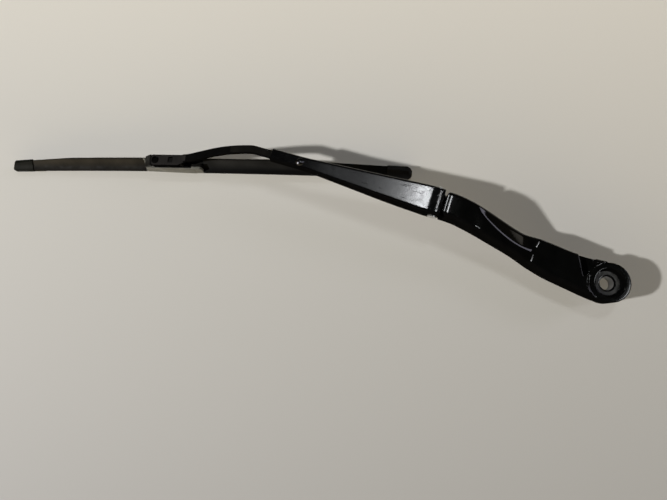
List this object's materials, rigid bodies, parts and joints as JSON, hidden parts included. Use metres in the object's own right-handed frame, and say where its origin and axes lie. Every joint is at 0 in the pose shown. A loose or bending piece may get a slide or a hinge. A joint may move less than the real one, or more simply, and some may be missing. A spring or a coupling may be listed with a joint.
{
  "type": "wiper arm with flat blade",
  "caption": "Front wiper arm: cast head with a spindle hub, sprung hinged steel arm, bent flat rod with a latch tip, and a rocking flat blade with concave spoilers.",
  "frame": {"origin": "centre of the spindle bore on the hub's seat face", "axes": "+Z along the spindle bore towards the nut, +X along the pressed arm towards the blade, +Y towards the bulging side of the head"},
  "size_m": [0.5866, 0.1121, 0.0593],
  "materials": {
    "gloss_paint": "gloss black",
    "satin_paint": "satin black",
    "bare_steel": "zinc plated",
    "spring_steel": "oiled spring steel",
    "bush_plastic": "plain",
    "black_plastic": "fine grain",
    "grey_plastic": "satin",
    "soft_black": "satin",
    "wiping_rubber": "matt"
  },
  "bodies": {
    "head": {"mounting_head": "gloss_paint", "hinge_bush_far": "bush_plastic", "hinge_bush_near": "bush_plastic", "spring_anchor_pin": "bare_steel"},
    "arm": {"hinge_pin": "bare_steel", "arm_retainer": "gloss_paint", "retainer_rivet": "bare_steel", "arm_rod": "satin_paint", "adapter": "black_plastic"},
    "spring_link": {"spring_hook": "bare_steel", "tension_spring": "spring_steel"},
    "latch": {"release_button": "black_plastic"},
    "blade": {"blade_base": "black_plastic", "blade_pivot_pin": "bare_steel", "connector_cover": "grey_plastic", "spring_rail_front": "spring_steel", "spring_rail_rear": "spring_steel", "wiping_rubber": "wiping_rubber", "spoiler_outer": "soft_black", "spoiler_inner": "soft_black", "end_cap_outer": "black_plastic", "end_cap_inner": "black_plastic"}
  },
  "joints": [
    {"name": "arm_hinge", "type": "hinge", "parent": "head", "child": "arm", "pos_m": [0.1555, -0.0212, 0.031], "axis": [0, -1, 0], "range_deg": [0, 70], "stiffness_Nm_per_rad": 1.5, "springref_deg": -17.19, "deforming": ["tension_spring"]},
    {"name": "hook_swing", "type": "hinge", "parent": "head", "child": "spring_link", "pos_m": [0.1525, -0.0212, 0.0255], "axis": [0, -1, 0], "range_deg": [0, 67]},
    {"name": "blade_rock", "type": "hinge", "parent": "arm", "child": "blade", "pos_m": [0.4056, 0.004, 0.0025], "axis": [0.2605, -0.9655, 0], "range_deg": [-12, 12]},
    {"name": "button_press", "type": "slide", "parent": "arm", "child": "latch", "axis": [0, 0, -1], "range_m": [0, 0.002], "stiffness_N_per_m": 300}
  ],
  "couplings": [
    {"joint": "hook_swing", "follows": "arm_hinge", "ratio": 0.945}
  ]
}
